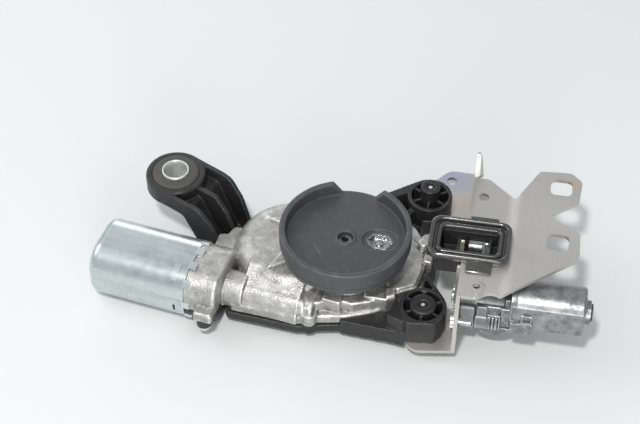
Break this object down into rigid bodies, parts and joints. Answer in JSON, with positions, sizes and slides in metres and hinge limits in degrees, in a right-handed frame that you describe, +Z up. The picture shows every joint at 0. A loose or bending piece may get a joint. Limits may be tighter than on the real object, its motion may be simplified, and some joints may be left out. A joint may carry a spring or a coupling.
{
  "type": "rear wiper motor with window latch",
  "caption": "Rear wiper drive: flat geared motor with a driver disc, rubber-bushed arm and sheet bracket that carries a motor-released window latch.",
  "frame": {"origin": "on the output axis, at the underside of the mounting cover", "axes": "+Z up along the output axis, +X along the length from the motor to the latch bracket, +Y away from the side that the motor's flange lug faces"},
  "size_m": [0.2632, 0.1387, 0.0559],
  "materials": {
    "zinc_steel": "zinc plated pressed steel, satin, with a pale spangle",
    "ferrite": "sintered ferrite, matt",
    "core_steel": "stacked lamination steel, dull",
    "copper_wire": "enamelled copper wire",
    "copper": "bare copper segments",
    "ground_steel": "ground bright steel",
    "sintered_bronze": "oil-filled sintered bronze",
    "white_plastic": "natural acetal",
    "black_plastic": "glass-filled black nylon, satin, fine moulded grain",
    "disc_plastic": "black acetal, satin",
    "carbon": "copper graphite, matt",
    "dark_bolt": "dark zinc flake steel",
    "cast_aluminium": "die-cast aluminium, as cast, fine mottled skin",
    "rubber": "moulded rubber",
    "sleeve_steel": "bright zinc plated sleeve",
    "board": "solder-masked board",
    "tinned_brass": "tinned brass",
    "screw_steel": "zinc plated steel",
    "bracket_steel": "zinc plated steel sheet, satin",
    "gloss_black": "polished black plastic",
    "yellow_zinc": "yellow passivated zinc",
    "zinc_plate": "zinc plated steel",
    "claw_steel": "case-hardened steel, dark",
    "spring_steel": "spring wire",
    "dark_can": "dark blotchy steel can",
    "grey_housing": "grey glass-filled nylon"
  },
  "bodies": {
    "base": {"motor_yoke": "zinc_steel", "field_magnets": "ferrite", "rear_bearing": "sintered_bronze", "front_bearing": "sintered_bronze", "thrust_cap": "white_plastic", "brush_holder": "black_plastic", "carbon_brushes": "carbon", "wheel_axle": "ground_steel", "output_bush": "sintered_bronze", "thrust_washer": "ground_steel", "gear_housing": "cast_aluminium", "cover_seal": "rubber", "mount_cover": "black_plastic", "grommet": "rubber", "grommet_sleeve": "sleeve_steel", "control_board": "board", "connector_shroud": "black_plastic", "connector_pins": "tinned_brass", "cover_screws": "screw_steel", "boss_screws": "screw_steel", "latch_bracket": "bracket_steel", "latch_frame": "gloss_black", "latch_case": "black_plastic", "latch_plate_left": "yellow_zinc", "latch_plate_right": "zinc_plate", "claw_pin": "zinc_plate", "claw_spring": "spring_steel", "pawl_pin": "zinc_plate", "latch_rivets": "zinc_plate", "actuator_can": "dark_can", "actuator_end_cap": "black_plastic", "actuator_magnets": "ferrite", "actuator_housing": "grey_housing", "actuator_cover": "grey_housing", "actuator_screw": "screw_steel"},
    "armature": {"armature_core": "core_steel", "windings": "copper_wire", "commutator": "copper", "armature_shaft": "ground_steel"},
    "worm_wheel_body": {"worm_wheel": "white_plastic"},
    "output": {"output_gear": "ground_steel", "output_shaft": "ground_steel", "driver_disc": "disc_plastic", "disc_bolt": "dark_bolt", "socket_insert": "dark_bolt"},
    "claw": {"latch_claw": "claw_steel"},
    "pawl_lever": {"pawl": "claw_steel"},
    "actuator_rotor": {"actuator_armature": "core_steel"},
    "release_wheel": {"actuator_wheel": "white_plastic"}
  },
  "joints": [
    {"name": "armature_spin", "type": "hinge", "parent": "base", "child": "armature", "pos_m": [-0.03306, -0.02784, 0.013], "axis": [0.9877, -0.1564, 0], "range_deg": [0, 13440]},
    {"name": "wheel_turn", "type": "hinge", "parent": "base", "child": "worm_wheel_body", "pos_m": [-0.02802, 0.004, 0.013], "axis": [0, 0, 1], "range_deg": [-241, 1]},
    {"name": "output_turn", "type": "hinge", "parent": "base", "child": "output", "pos_m": [0, 0, 0.02], "axis": [0, 0, 1], "range_deg": [-0.5, 100.5]},
    {"name": "claw_turn", "type": "hinge", "parent": "base", "child": "claw", "pos_m": [0.067, 0.011, 0.02], "axis": [1, 0, 0], "range_deg": [0, 50], "stiffness_Nm_per_rad": 0.02, "springref_deg": -28.65},
    {"name": "actuator_spin", "type": "hinge", "parent": "base", "child": "actuator_rotor", "pos_m": [0.1, -0.0195, 0.025], "axis": [1, 0, 0], "range_deg": [0, 448]},
    {"name": "release_turn", "type": "hinge", "parent": "base", "child": "release_wheel", "pos_m": [0.081, -0.0195, 0.0155], "axis": [0, 1, 0], "range_deg": [-16.2, 0.2]},
    {"name": "pawl_turn", "type": "hinge", "parent": "base", "child": "pawl_lever", "pos_m": [0.067, 0.003, 0.003], "axis": [1, 0, 0], "range_deg": [-0.2, 12.2]}
  ],
  "couplings": [
    {"joint": "wheel_turn", "follows": "armature_spin", "ratio": -0.017857},
    {"joint": "output_turn", "follows": "armature_spin", "ratio": 0.0074405},
    {"joint": "release_turn", "follows": "actuator_spin", "ratio": -0.035714},
    {"joint": "pawl_turn", "follows": "actuator_spin", "ratio": 0.026786}
  ]
}
